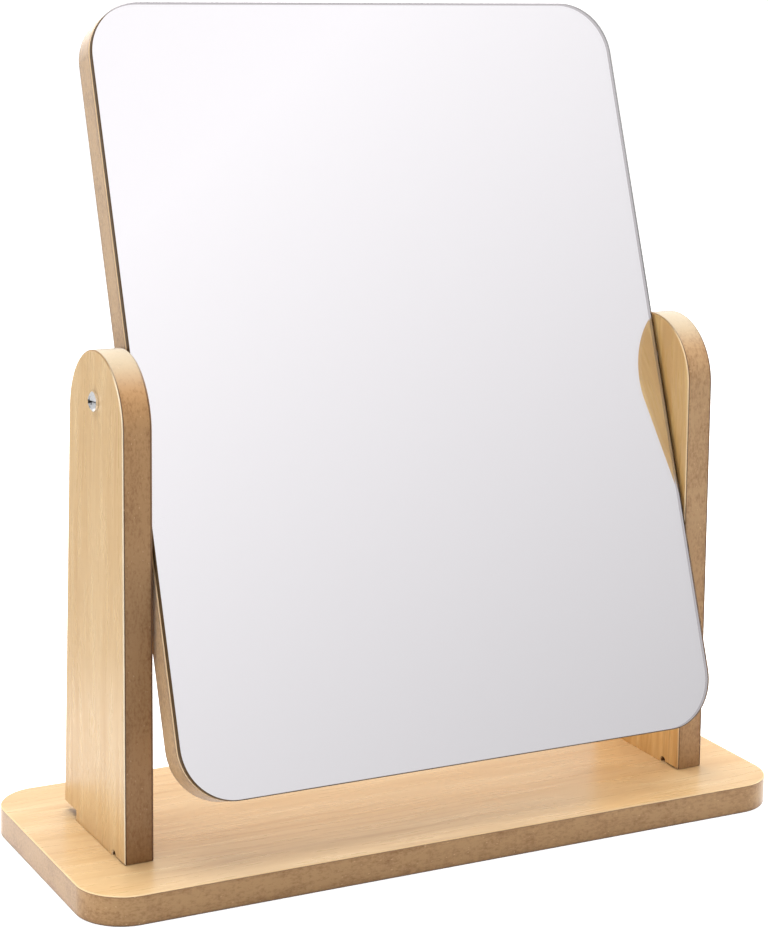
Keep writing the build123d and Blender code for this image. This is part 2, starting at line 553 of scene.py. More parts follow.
@dataclass(frozen=True)
class PlainFinish(Finish):
    """A finish of one colour whose gloss varies faintly, such as plate, nylon, tape or a sheet's cut edge."""

    effects: Effects
    colour: Colour
    shade: Colour
    roughness: tuple[float, float] = (0.35, 0.5)
    grain_size: float = 1.0
    metallic: float = 0.0
    depth_mm: float = 0.01

    def marks(self, surface: Surface) -> bpy.types.NodeOutputs:
        """The wiping marks' roughness and height on a surface."""
        values = {"Low": self.roughness[0], "High": self.roughness[1], "Grain Size": self.grain_size}
        return surface.effect(self.effects.handling, values)

    def dress(self, surface: Surface) -> None:
        """Lays the colour and its wiping marks on a piece.

        Args:
            surface: The piece's surface.
        """
        marks = self.marks(surface)
        surface.paint({"Base Color": surface.blend(marks["Height"], self.colour, self.shade),
                       "Roughness": marks["Roughness"], "Metallic": self.metallic,
                       "Normal": surface.relief(marks["Height"], self.depth_mm, 0.4)})


@dataclass(frozen=True)
class EasedEdge(PlainFinish):
    """The eased edge of a facing sheet, in its colour towards the front and in painted shade elsewhere."""

    grain_size: float = 2.0
    turn: tuple[float, float] = (-0.62, -0.30)
    mottle: float = 0.25

    def dress(self, surface: Surface) -> None:
        """Lays the two colours on an edge.

        Args:
            surface: The edge's surface.
        """
        marks = self.marks(surface)
        # The front colour is partly the sheet's own tone and partly painted light. It gives way to painted
        # shade as the edge turns away from the front.
        colour = surface.blend(surface.ramp(surface.facing(1), *self.turn), self.colour, self.shade)
        colour = surface.blend(surface.times(marks["Height"], self.mottle), colour, self.shade)
        surface.paint({"Base Color": colour, "Roughness": marks["Roughness"]})


@dataclass(frozen=True)
class ClearGlass(Finish):
    """Float glass, with its faint green in the mass and an index of 1.52."""

    LUMPS_PER_METRE = 9.0

    colour: Colour = (0.97, 0.99, 0.98)
    index: float = 1.52
    depth_mm: float = 0.02

    def dress(self, surface: Surface) -> None:
        """Makes a surface clear, with a very faint ripple.

        Args:
            surface: The glass's surface.
        """
        place = surface.stretch(surface.coordinates("Object"), (self.LUMPS_PER_METRE,) * 3)
        surface.paint({"Base Color": self.colour, "Roughness": 0.0, "IOR": self.index,
                       "Transmission Weight": 1.0,
                       "Normal": surface.relief(surface.noise(place, 1.0), self.depth_mm, 0.1)})


@dataclass(frozen=True)
class GroundRim(Finish):
    """The glass's ground rim, with a painted highlight along its top.

    From inside, it lets through what the silver throws.
    """

    colour: Colour = srgb(80, 60, 36)
    crest: Colour = srgb(184, 179, 182)
    crest_turn: tuple[float, float] = (0.70, 0.94)
    thrown: Colour = (0.30, 0.29, 0.29)
    roughness: float = 0.4
    gloss: float = 0.28

    def dress(self, surface: Surface) -> None:
        """Makes a surface opaque from outside and clear to gloss from inside.

        Args:
            surface: The rim's surface.
        """
        # Painted highlight: the rim turns paler where it faces upwards.
        colour = surface.blend(surface.ramp(surface.facing(2), *self.crest_turn), self.colour, self.crest)
        surface.paint({"Base Color": colour, "Roughness": self.roughness, "Specular IOR Level": self.gloss})
        clear = surface.get("ShaderNodeBsdfPrincipled", {
            "Base Color": self.thrown, "Roughness": 0.0, "IOR": 1.0, "Transmission Weight": 1.0})
        inside = surface.add("ShaderNodeNewGeometry").outputs["Backfacing"]
        both = surface.get("ShaderNodeMixShader", {
            0: surface.times(inside, surface.ray("Glossy")), 1: surface.shader.outputs[0], 2: clear})
        surface.feed(surface.output, {"Surface": both})


@dataclass(frozen=True)
class Silvering(Finish):
    """The silver layer on the back of the glass, seen through it."""

    colour: Colour = (0.93, 0.93, 0.935)

    def dress(self, surface: Surface) -> None:
        """Makes a surface a mirror."""
        surface.paint({"Base Color": self.colour, "Metallic": 1.0, "Roughness": 0.0})


# ---- outlines


def arc(centre: Point, radius: float, start: float, end: float, steps: int) -> Loop:
    """Points on an arc of so many chords from one angle to another, in radians, both ends included."""
    angles = [start + (end - start) * step / steps for step in range(steps + 1)]
    return [(centre[0] + radius * cos(angle), centre[1] + radius * sin(angle)) for angle in angles]


def rounded_rectangle(width: float, height: float, radius: float, steps: int = 24) -> Loop:
    """A rectangle with round corners about the origin, anticlockwise.

    Args:
        width: Its whole width.
        height: Its whole height.
        radius: The corners' radius.
        steps: How many chords each corner has.

    Returns:
        The points in order.
    """
    reach_x, reach_y = width / 2 - radius, height / 2 - radius
    corners = ((reach_x, -reach_y), (reach_x, reach_y), (-reach_x, reach_y), (-reach_x, -reach_y))
    loop: Loop = []
    for quarter, centre in enumerate(corners):
        start = (quarter - 1) * pi / 2
        loop += arc(centre, radius, start, start + pi / 2, steps)
    return loop


def rectangle_hole(centre: Point, width: float, height: float) -> Loop:
    """A rectangular hole, clockwise."""
    (x, y), reach_x, reach_y = centre, width / 2, height / 2
    return [(x + across * reach_x, y + up * reach_y) for across, up in ((-1, -1), (-1, 1), (1, 1), (1, -1))]


def inward_mitres(loop: Loop) -> list[Vector]:
    """The way each corner moves when the outline shrinks by one unit.

    Args:
        loop: A closed outline with the board on its left.

    Returns:
        One flat vector for each point.
    """
    mitres = []
    for index, point in enumerate(loop):
        before, after = Vector(loop[index - 1]), Vector(loop[(index + 1) % len(loop)])
        into, out = (Vector(point) - before).normalized(), (after - Vector(point)).normalized()
        left_in, left_out = Vector((-into.y, into.x)), Vector((-out.y, out.x))
        mitres.append(((left_in + left_out) / (1 + left_in.dot(left_out))).to_3d())
    return mitres


def placed(origin: Vector, x_axis: Vector, z_axis: Vector) -> Matrix:
    """The rigid matrix that takes flat outlines to a plane: its origin in metres, its X and its normal."""
    turn = Matrix((x_axis, z_axis.cross(x_axis), z_axis)).transposed().to_4x4()
    return Matrix.Translation(origin) @ turn


def side_plane(x: float, z: float, normal: float) -> Matrix:
    """A plane across X, its point given in millimetres, whose normal runs along X and outline's X along Y."""
    return placed(Vector((x, 0.0, z)) * MM, Vector((0, 1, 0)), Vector((normal, 0, 0)))


# ---- meshes


def linked(name: str, data: bpy.types.ID) -> Piece:
    """Links data to the scene as an object at the origin.

    Args:
        name: The object's name, which the data takes too.
        data: A mesh, lamp or camera.

    Returns:
        The object.
    """
    data.name = name
    piece = bpy.data.objects.new(name, data)
    bpy.context.scene.collection.objects.link(piece)
    return piece


def new_mesh(name: str, shape: bmesh.types.BMesh) -> Mesh:
    """Takes a bmesh as a mesh and frees it.

    Args:
        name: The mesh's name.
        shape: The bmesh.

    Returns:
        The mesh, with every face outwards.
    """
    bmesh.ops.recalc_face_normals(shape, faces=shape.faces)
    mesh = bpy.data.meshes.new(name)
    shape.to_mesh(mesh)
    shape.free()
    return mesh


def baked(piece: Piece, *spent: Piece) -> Mesh:
    """Takes an object's shape with its modifier as a plain mesh and removes the object.

    Args:
        piece: The object.
        *spent: Other objects to remove with it.

    Returns:
        The mesh.
    """
    depsgraph = bpy.context.evaluated_depsgraph_get()
    depsgraph.update()
    mesh = bpy.data.meshes.new_from_object(piece.evaluated_get(depsgraph), depsgraph=depsgraph)
    for used in (piece, *spent):
        data = used.data
        bpy.data.objects.remove(used)
        bpy.data.meshes.remove(data)
    return mesh


def grown(name: str, start: Mesh, tree: Tree, values: dict) -> Mesh:
    """Runs a geometry tree and takes the result as a plain mesh.

    Args:
        name: A name for the passing object.
        start: The tree's starting mesh. It is removed.
        tree: The geometry tree.
        values: Input name to value.

    Returns:
        The mesh, with no empty material slots.
    """
    holder = linked(name, start)
    modifier = holder.modifiers.new(tree.name, "NODES")
    modifier.node_group = tree
    for item in tree.interface.items_tree:
        if item.item_type == "SOCKET" and item.in_out == "INPUT" and item.name in values:
            modifier[item.identifier] = values[item.name]
    holder.update_tag()
    mesh = baked(holder)
    finishes = list(mesh.materials)
    used = [index for index, finish in enumerate(finishes) if finish]
    numbers = [face.material_index for face in mesh.polygons]
    numbers = [used.index(number) if number in used else 0 for number in numbers]
    mesh.materials.clear()
    for index in used:
        mesh.materials.append(finishes[index])
    mesh.polygons.foreach_set("material_index", numbers)
    return mesh


def tidy_mesh(mesh: Mesh, crease_degrees: float = 32.0) -> None:
    """Merges doubles, turns every face outwards and smooths what isn't a crease.

    Args:
        mesh: The mesh to change.
        crease_degrees: The least angle that stays sharp.
    """
    shape = bmesh.new()
    shape.from_mesh(mesh)
    bmesh.ops.remove_doubles(shape, verts=shape.verts, dist=WELD)
    bmesh.ops.dissolve_degenerate(shape, edges=shape.edges, dist=WELD)
    bmesh.ops.recalc_face_normals(shape, faces=shape.faces)
    shape.to_mesh(mesh)
    shape.free()
    mesh.shade_smooth()
    mesh.set_sharp_from_angle(angle=radians(crease_degrees))


def lathe(name: str, profile: list[Point], segments: int, finish: Material, closed: bool = False) -> Piece:
    """Turns a profile about Z.

    Args:
        name: The object's name.
        profile: Radius and height of each point in millimetres, in order.
        segments: How many steps there are round the axis.
        finish: The solid's finish.
        closed: Whether the profile's ends join, as on a ring.

    Returns:
        The turned solid as an object.
    """
    shape = bmesh.new()
    verts = [shape.verts.new((radius, 0.0, height)) for radius, height in profile]
    edges = [shape.edges.new(pair) for pair in zip(verts, verts[1:])]
    if closed:
        edges.append(shape.edges.new((verts[-1], verts[0])))
    bmesh.ops.spin(shape, geom=verts + edges, cent=(0, 0, 0), axis=(0, 0, 1), angle=2 * pi, steps=segments,
                   use_merge=True)
    bmesh.ops.remove_doubles(shape, verts=shape.verts, dist=WELD / MM)
    mesh = new_mesh(name, shape)
    mesh.materials.append(finish)
    return linked(name, mesh)


def hand_over(piece: Piece, body: Body, nodes: tuple[str, ...]) -> Piece:
    """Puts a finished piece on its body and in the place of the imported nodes.

    Args:
        piece: The piece, a plain mesh at the origin.
        body: The body it moves with.
        nodes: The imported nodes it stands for, if any.

    Returns:
        The piece.
    """
    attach(piece, body.value)
    if nodes:
        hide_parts(*nodes)
    return piece


# ---- shared stock


class LayerTree:
    """The tree that turns an outline with its holes into a layer with an arris round every edge."""

    SIDES = ("Front", "Back", "Rim", "Front Arris", "Back Arris")

    def __init__(self) -> None:
        """Builds the tree once."""
        graph = Group("board_layer", "GeometryNodeTree",
                      {"Outline": "Geometry", "Thickness": "Float", "Front Arris": "Float",
                       "Back Arris": "Float", **{f"{side} Finish": "Material" for side in self.SIDES}},
                      {"Layer": "Geometry"})
        outline, thickness, front_arris, back_arris = tuple(graph.given)[:4]
        inward = graph.add("GeometryNodeInputNamedAttribute", {"Name": "inward"}, data_type="FLOAT_VECTOR")
        in_at_back, in_at_front = (graph.scale(inward.outputs["Attribute"], arris)
                                   for arris in (back_arris, front_arris))
        straight = graph.math("SUBTRACT", graph.math("SUBTRACT", thickness, front_arris), back_arris)

        top = True
        wall = graph.get("GeometryNodeSetPosition", {"Geometry": outline, "Offset": in_at_back})
        for side, rise, sideways in (("Back Arris", back_arris, graph.scale(in_at_back, -1.0)),
                                     ("Rim", straight, None), ("Front Arris", front_arris, in_at_front)):
            grow = graph.add("GeometryNodeExtrudeMesh",
                             {"Mesh": wall, "Selection": top, "Offset": graph.combine(0.0, 0.0, rise),
                              "Offset Scale": 1.0}, mode="EDGES")
            top = grow.outputs["Top"]
            wall = self._marked(graph, grow.outputs["Mesh"], side, grow.outputs["Side"])
            if sideways is not None:
                wall = graph.get("GeometryNodeSetPosition",
                                 {"Geometry": wall, "Selection": top, "Offset": sideways})

        front = graph.get("GeometryNodeTransform", {
            "Geometry": self._cap(graph, outline, in_at_front),
            "Translation": graph.combine(0.0, 0.0, thickness)})
        back = graph.get("GeometryNodeFlipFaces", {"Mesh": self._cap(graph, outline, in_at_back)})
        joined = graph.add("GeometryNodeJoinGeometry")
        for piece in (self._marked(graph, front, "Front"), self._marked(graph, back, "Back"), wall):
            graph.feed(joined, {0: piece})
        merged = graph.get("GeometryNodeMergeByDistance", {"Geometry": joined.outputs[0], "Distance": WELD})
        layer = graph.get("GeometryNodeRealizeInstances", {"Geometry": merged})
        mark = graph.add("GeometryNodeInputNamedAttribute", {"Name": "side"}, data_type="INT")
        for number, name in enumerate(self.SIDES):
            chosen = graph.get("FunctionNodeCompare", {2: mark.outputs["Attribute"], 3: number},
                               data_type="INT", operation="EQUAL")
            layer = graph.get("GeometryNodeSetMaterial", {
                "Geometry": layer, "Selection": chosen, "Material": graph.given[f"{name} Finish"]})
        self.tree = graph.put_out({"Layer": layer})

    @classmethod
    def _marked(cls, graph: Graph, geometry: Socket, side: str, chosen: Socket | bool = True) -> Socket:
        """The geometry with the chosen faces marked as one of the layer's sides."""
        inputs = {"Geometry": geometry, "Selection": chosen, "Name": "side", "Value": cls.SIDES.index(side)}
        return graph.get("GeometryNodeStoreNamedAttribute", inputs, data_type="INT", domain="FACE")

    @staticmethod
    def _cap(graph: Graph, outline: Socket, inward: Socket) -> Socket:
        """The flat face inside the outline.

        Args:
            graph: The tree's graph.
            outline: The outline and its holes.
            inward: How far each point is moved inwards first.

        Returns:
            The filled face.
        """
        shrunk = graph.get("GeometryNodeSetPosition", {"Geometry": outline, "Offset": inward})
        curve = graph.get("GeometryNodeMeshToCurve", {"Mesh": shrunk})
        return graph.get("GeometryNodeFillCurve", {"Curve": curve}, mode="TRIANGLES")

    def piece(self, name: str, loops: list[Loop], thickness: float, arrises: tuple[float, float],
              place: Matrix, finishes: tuple[Material, ...]) -> Piece:
        """Makes one layer.

        Args:
            name: The piece's name.
            loops: The outline and its holes in millimetres, with the board on the left of each.
            thickness: The layer's thickness, in millimetres.
            arrises: How far the back edge and the front edge are taken off, in millimetres.
            place: Where the outline's plane lies. Its normal points to the layer's front.
            finishes: The finish of each side, in the order of SIDES.

        Returns:
            The piece, a plain mesh at the origin.
        """
        points = [(x * MM, y * MM, 0.0) for loop in loops for x, y in loop]
        edges: list[tuple[int, int]] = []
        for loop in loops:
            first = len(edges)
            edges += [(first + step, first + (step + 1) % len(loop)) for step in range(len(loop))]
        outline = bpy.data.meshes.new(name)
        outline.from_pydata(points, edges, [])
        inward = outline.attributes.new("inward", "FLOAT_VECTOR", "POINT")
        flat = [value for loop in loops for mitre in inward_mitres(loop) for value in mitre]
        inward.data.foreach_set("vector", flat)
        values = {"Thickness": thickness * MM, "Back Arris": arrises[0] * MM, "Front Arris": arrises[1] * MM}
        values |= {f"{side} Finish": finish for side, finish in zip(self.SIDES, finishes)}
        mesh = grown(f"{name}_outline", outline, self.tree, values)
        for attribute in ("inward", "side"):
            mesh.attributes.remove(mesh.attributes[attribute])
        mesh.transform(place)
        tidy_mesh(mesh)
        return linked(name, mesh)


def layer_names(stem: str, first: str, last: str) -> tuple[tuple[str, str], ...]:
    """Each layer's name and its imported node: the first face's sheet, the board and the last face's sheet."""
    near, far = ((f"{stem}_{face}_sheet", f"{stem}_{face}_facing") for face in (first, last))
    return near, (f"{stem}_board", f"{stem}_core"), far


@dataclass
class Board:
    """The faced board that every part is cut from, and the tree and finishes that make a layer of it."""

    layers: LayerTree
    effects: Effects
    core: float = 9.0
    facing: float = 0.35
    core_arris: float = 0.04
    facing_arris: float = 0.32
    glued_arris: float = 0.01

    @property
    def thickness(self) -> float:
        """Core and both facings together."""
        return self.core + 2 * self.facing

    def build(self, body: Body, names: tuple[tuple[str, str], ...], loops: list[Loop], place: Matrix,
              lie: Lie, facing: GrainFacing, raw: RawFibreboard) -> list[Piece]:
        """Lays the three layers of one board on a plane.

        Args:
            body: The body they move with.
            names: Each layer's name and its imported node, from the plane outwards along its normal.
            loops: The board's outline and holes, in millimetres.
            place: Where the plane lies.
            lie: How the grain lies.
            facing: The facings' finish.
            raw: The raw edge's finish.

        Returns:
            The three pieces, in the order of the names.
        """
        effects, stem = self.effects, names[1][0]
        # The eased edges take their colours, which hold painted light and shade, from the facing.
        sheet, fibre, near, far, glued = (finish.material(f"{stem}_{ending}", lie) for ending, finish in (
            ("grain", facing), ("fibre", raw),
            ("near_edge", EasedEdge(effects, facing.near_edge, facing.near_rear)),
            ("far_edge", EasedEdge(effects, facing.far_edge, facing.far_edge)),
            ("glued_sheet", PlainFinish(effects, srgb(128, 94, 66), srgb(104, 74, 50), (0.5, 0.65), 1.5)),
        ))
        outer, inner, even = self.facing_arris, self.glued_arris, self.core_arris
        pieces = []
        height = 0.0
        for (name, node), (depth, arrises, finishes, slot) in zip(names, (
            (self.facing, (outer, inner), (sheet, sheet, glued, glued, near), Slot.FACING),
            (self.core, (even, even), (fibre,) * 5, Slot.FIBREBOARD),
            (self.facing, (inner, outer), (sheet, sheet, glued, far, glued), Slot.FACING),
        )):
            lifted = place @ Matrix.Translation((0.0, 0.0, height * MM))
            piece = self.layers.piece(name, loops, depth, arrises, lifted, finishes)
            pieces.append(hand_over(piece, body, (node,)))
            height += depth
        return pieces


# ---- sub-assemblies


@dataclass
class Stand:
    """The base board and the two uprights tenoned into it, in millimetres."""

    HEAD_STEPS = 72
    RELIEF_STEPS = 12
    BORE_STEPS = 32

    board: Board
    base_length: float = 252.0
    base_depth: float = 97.6
    base_corner: float = 15.5
    upright_middle: float = 102.55
    tenon_width: float = 32.0
    tenon_end_recess: float = 0.5
    slot_clearance: float = 0.05
    relief: float = 1.4
    foot_width: float = 52.8
    head_radius: float = 22.5
    crown_above_base: float = 156.6
    pivot_above_base: float = 140.8
    rear_lift: float = 2.8
    shoulder_gap: float = 0.18
    bore: float = 1.58

    def base_loops(self) -> list[Loop]:
        """The base seen from above, with a slot for each tenon.

        Returns:
            The outline, anticlockwise, and the slots.
        """
        slot_width = self.board.thickness + 2 * self.slot_clearance
        slot_length = self.tenon_width + 2 * self.slot_clearance
        middles = [(side.value * self.upright_middle, 0.0) for side in Side]
        return [rounded_rectangle(self.base_length, self.base_depth, self.base_corner),
                *(rectangle_hole(middle, slot_width, slot_length) for middle in middles)]

    def upright_loops(self) -> list[Loop]:
        """An upright seen from the side, across Y and up from the base's top face, with its pivot bore.

        Returns:
            The outline, anticlockwise, and the bore.
        """
        half_foot, half_tenon = self.foot_width / 2, self.tenon_width / 2
        head = self.crown_above_base - self.head_radius
        tilt = acos(self.head_radius / hypot(half_foot, head)) - atan2(head, half_foot)
        tangent_y = self.head_radius * cos(tilt)
        tangent_z = head + self.head_radius * sin(tilt)
        rear_y = half_foot - (half_foot - tangent_y) * self.rear_lift / tangent_z
        tenon_end = self.tenon_end_recess - self.board.thickness
        relief_y = half_tenon + self.relief
        outline: Loop = [(-half_tenon, tenon_end), (half_tenon, tenon_end), (half_tenon, self.rear_lift),
                         (rear_y, self.rear_lift)]
        outline += arc((0.0, head), self.head_radius, tilt, pi - tilt, self.HEAD_STEPS)
        outline.append((-half_foot, self.shoulder_gap))
        outline += arc((-relief_y, self.shoulder_gap), self.relief, pi, 0.0, self.RELIEF_STEPS)
        bore = arc((0.0, self.pivot_above_base), self.bore, 0.0, -2 * pi, self.BORE_STEPS)[:-1]
        return [outline, bore]

    def build(self) -> list[Piece]:
        """Makes the base and both uprights and puts them on the stand.

        Returns:
            The nine pieces.
        """
        board = self.board
        lie = Lie(Axes.BASE, (0.0, 0.0, board.thickness / 2), offset=31.0)
        # The bottom sheet's eased edge is dark as painted contact shadow. The top sheet's is pale, partly its
        # own tone and partly painted highlight.
        facing = GrainFacing(board.effects, pale=srgb(214, 184, 140), deep=srgb(201, 166, 118),
                             near_edge=srgb(122, 96, 70), near_rear=srgb(122, 96, 70),
                             far_edge=srgb(228, 198, 152), contrast=0.95, figure=0.26, gloss=0.85)
        raw = RawFibreboard(board.effects, body=srgb(182, 143, 97), dense=srgb(142, 100, 58),
                            glue_line=srgb(150, 114, 78))
        names = (("base_underside_sheet", "base_bottom_facing"), *layer_names("base", "bottom", "top")[1:])
        pieces = board.build(Body.STAND, names, self.base_loops(), Matrix.Identity(4), lie, facing, raw)
        for side in Side:
            middle = side.value * self.upright_middle
            lie = Lie(Axes.UPRIGHT, (middle, 0.0, 0.0), offset=200.0 + side.value * 90.0)
            place = side_plane(middle - board.thickness / 2, board.thickness, 1)
            faces = ("outer", "inner") if side is Side.LEFT else ("inner", "outer")
            names = layer_names(f"{side.label}_upright", *faces)
            pieces += board.build(Body.STAND, names, self.upright_loops(), place, lie, *self._finishes(side))
        return pieces

    def _finishes(self, side: Side) -> tuple[GrainFacing, RawFibreboard]:
        """An upright's finishes. The left one's sheet is the paler and the plainer.

        The right one's sheet is the more orange, as painted warm bounced light. The left one's raw edge
        darkens towards its foot as painted shade, and both raw edges carry a painted highlight on top.

        Args:
            side: The upright's side.

        Returns:
            The facings' finish and the raw edge's.
        """
        # Each upright's left-hand eased edge is pale, partly painted highlight; its right-hand one is dark,
        # painted shade.
        effects = self.board.effects
        if side is Side.LEFT:
            return GrainFacing(effects, figure=0.2), RawFibreboard(effects, sanded_share=0.8, shade=0.71)
        facing = GrainFacing(effects, pale=srgb(230, 190, 127), deep=srgb(210, 164, 99),
                             near_edge=srgb(246, 216, 172), contrast=2.0, figure=0.6)
        raw = RawFibreboard(effects, body=srgb(186, 149, 107), dense=srgb(147, 107, 69), sanded_share=0.8)
        return facing, raw


@dataclass
class MirrorPanel:
    """The tilting panel: a faced board, a sheet of mounting tape and the back-silvered glass."""

    board: Board
    width: float = 193.4
    height: float = 252.0
    corner: float = 18.0
    tilt: float = PANEL_LEAN
    pivot_height: float = 150.5
    tape: float = 0.8
    tape_inset: float = 0.4
    tape_arris: float = 0.05
    silver_gap: float = 0.02
    glass: float = 1.8
    glass_arris: float = 0.3
    silvered_arris: float = 0.05

    def build(self) -> list[Piece]:
        """Makes the panel's layers from the back to the front and puts them on the mirror.

        Returns:
            The five pieces.
        """
        effects, layers = self.board.effects, self.board.layers
        lean = radians(self.tilt)
        normal = Vector((0.0, -cos(lean), sin(lean)))
        thickness = self.board.thickness + self.tape + self.glass
        back = Vector((0.0, 0.0, self.pivot_height)) - normal * thickness / 2

        def level(height: float) -> Matrix:
            """The panel's plane at a height above its back."""
            return placed((back + normal * height) * MM, Vector((1, 0, 0)), normal)

        loops = [rounded_rectangle(self.width, self.height, self.corner)]
        lie = Lie(Axes.PANEL, tuple(back + normal * self.board.thickness / 2), offset=77.0)
        # The front sheet's eased edge is pale, partly its own tone and partly painted light. The raw edge
        # darkens towards its top as painted shade.
        facing = GrainFacing(effects, far_edge=srgb(216, 188, 150), figure=0.4)
        raw = RawFibreboard(effects, body=srgb(184, 143, 88), dense=srgb(132, 92, 48),
                            pale_fleck=srgb(228, 194, 142), glue_line=srgb(110, 78, 50), shade=0.92,
                            head_shade=0.83)
        pieces = self.board.build(Body.MIRROR, layer_names("panel", "back", "front"), loops, level(0.0), lie,
                                  facing, raw)

        cream = PlainFinish(effects, srgb(214, 194, 164), srgb(200, 178, 146), (0.6, 0.8), 0.5, depth_mm=0.05)
        inset = self.tape_inset
        tape_loop = rounded_rectangle(self.width - 2 * inset, self.height - 2 * inset, self.corner - inset)
        tape = layers.piece("mounting_tape_sheet", [tape_loop], self.tape - self.silver_gap,
                            (self.tape_arris, self.tape_arris), level(self.board.thickness),
                            (cream.material("mounting_tape", lie),) * 5)
        pieces.append(hand_over(tape, Body.MIRROR, ("mirror_tape",)))

        clear, silver = ClearGlass().material("clear_glass", lie), Silvering().material("silvering", lie)
        ground = GroundRim().material("ground_rim", lie)
        pane = layers.piece("mirror_pane", loops, self.glass, (self.silvered_arris, self.glass_arris),
                            level(self.board.thickness + self.tape), (clear, silver, ground, ground, silver))
        pieces.append(hand_over(pane, Body.MIRROR, ("mirror_glass",)))
        return pieces


class ThreadTree:
    """The geometry tree that winds a screw's thread up a straight shank and on to its point."""

    STEPS_PER_TURN = 20

    def __init__(self) -> None:
        """Builds the tree once. The thread runs along +Z."""
        graph = Group("screw_thread", "GeometryNodeTree",
                      {"Start": "Geometry", "Root Radius": "Float", "Tip Radius": "Float", "Ridge": "Float",
                       "Straight Length": "Float", "Tip Length": "Float", "Pitch": "Float",
                       "Finish": "Material"},
                      {"Thread": "Geometry"})
        _start, root, tip, ridge, straight, point, pitch, finish = tuple(graph.given)[:8]
        section = graph.get("GeometryNodeCurvePrimitiveCircle", {"Resolution": 4, "Radius": ridge},
                            mode="RADIUS")
        joined = graph.add("GeometryNodeJoinGeometry")
        for length, end_radius, rise in ((straight, root, 0.0), (point, tip, straight)):
            spiral = graph.get("GeometryNodeCurveSpiral", {
                "Resolution": self.STEPS_PER_TURN, "Rotations": graph.math("DIVIDE", length, pitch),
                "Start Radius": root, "End Radius": end_radius, "Height": length})
            swept = graph.get("GeometryNodeCurveToMesh", {
                "Curve": spiral, "Profile Curve": section, "Fill Caps": True})
            run = graph.get("GeometryNodeTransform", {
                "Geometry": swept, "Translation": graph.combine(0.0, 0.0, rise)})
            graph.feed(joined, {0: run})
        real = graph.get("GeometryNodeRealizeInstances", {"Geometry": joined.outputs[0]})
        done = graph.get("GeometryNodeSetMaterial", {"Geometry": real, "Material": finish})
        self.tree = graph.put_out({"Thread": done})


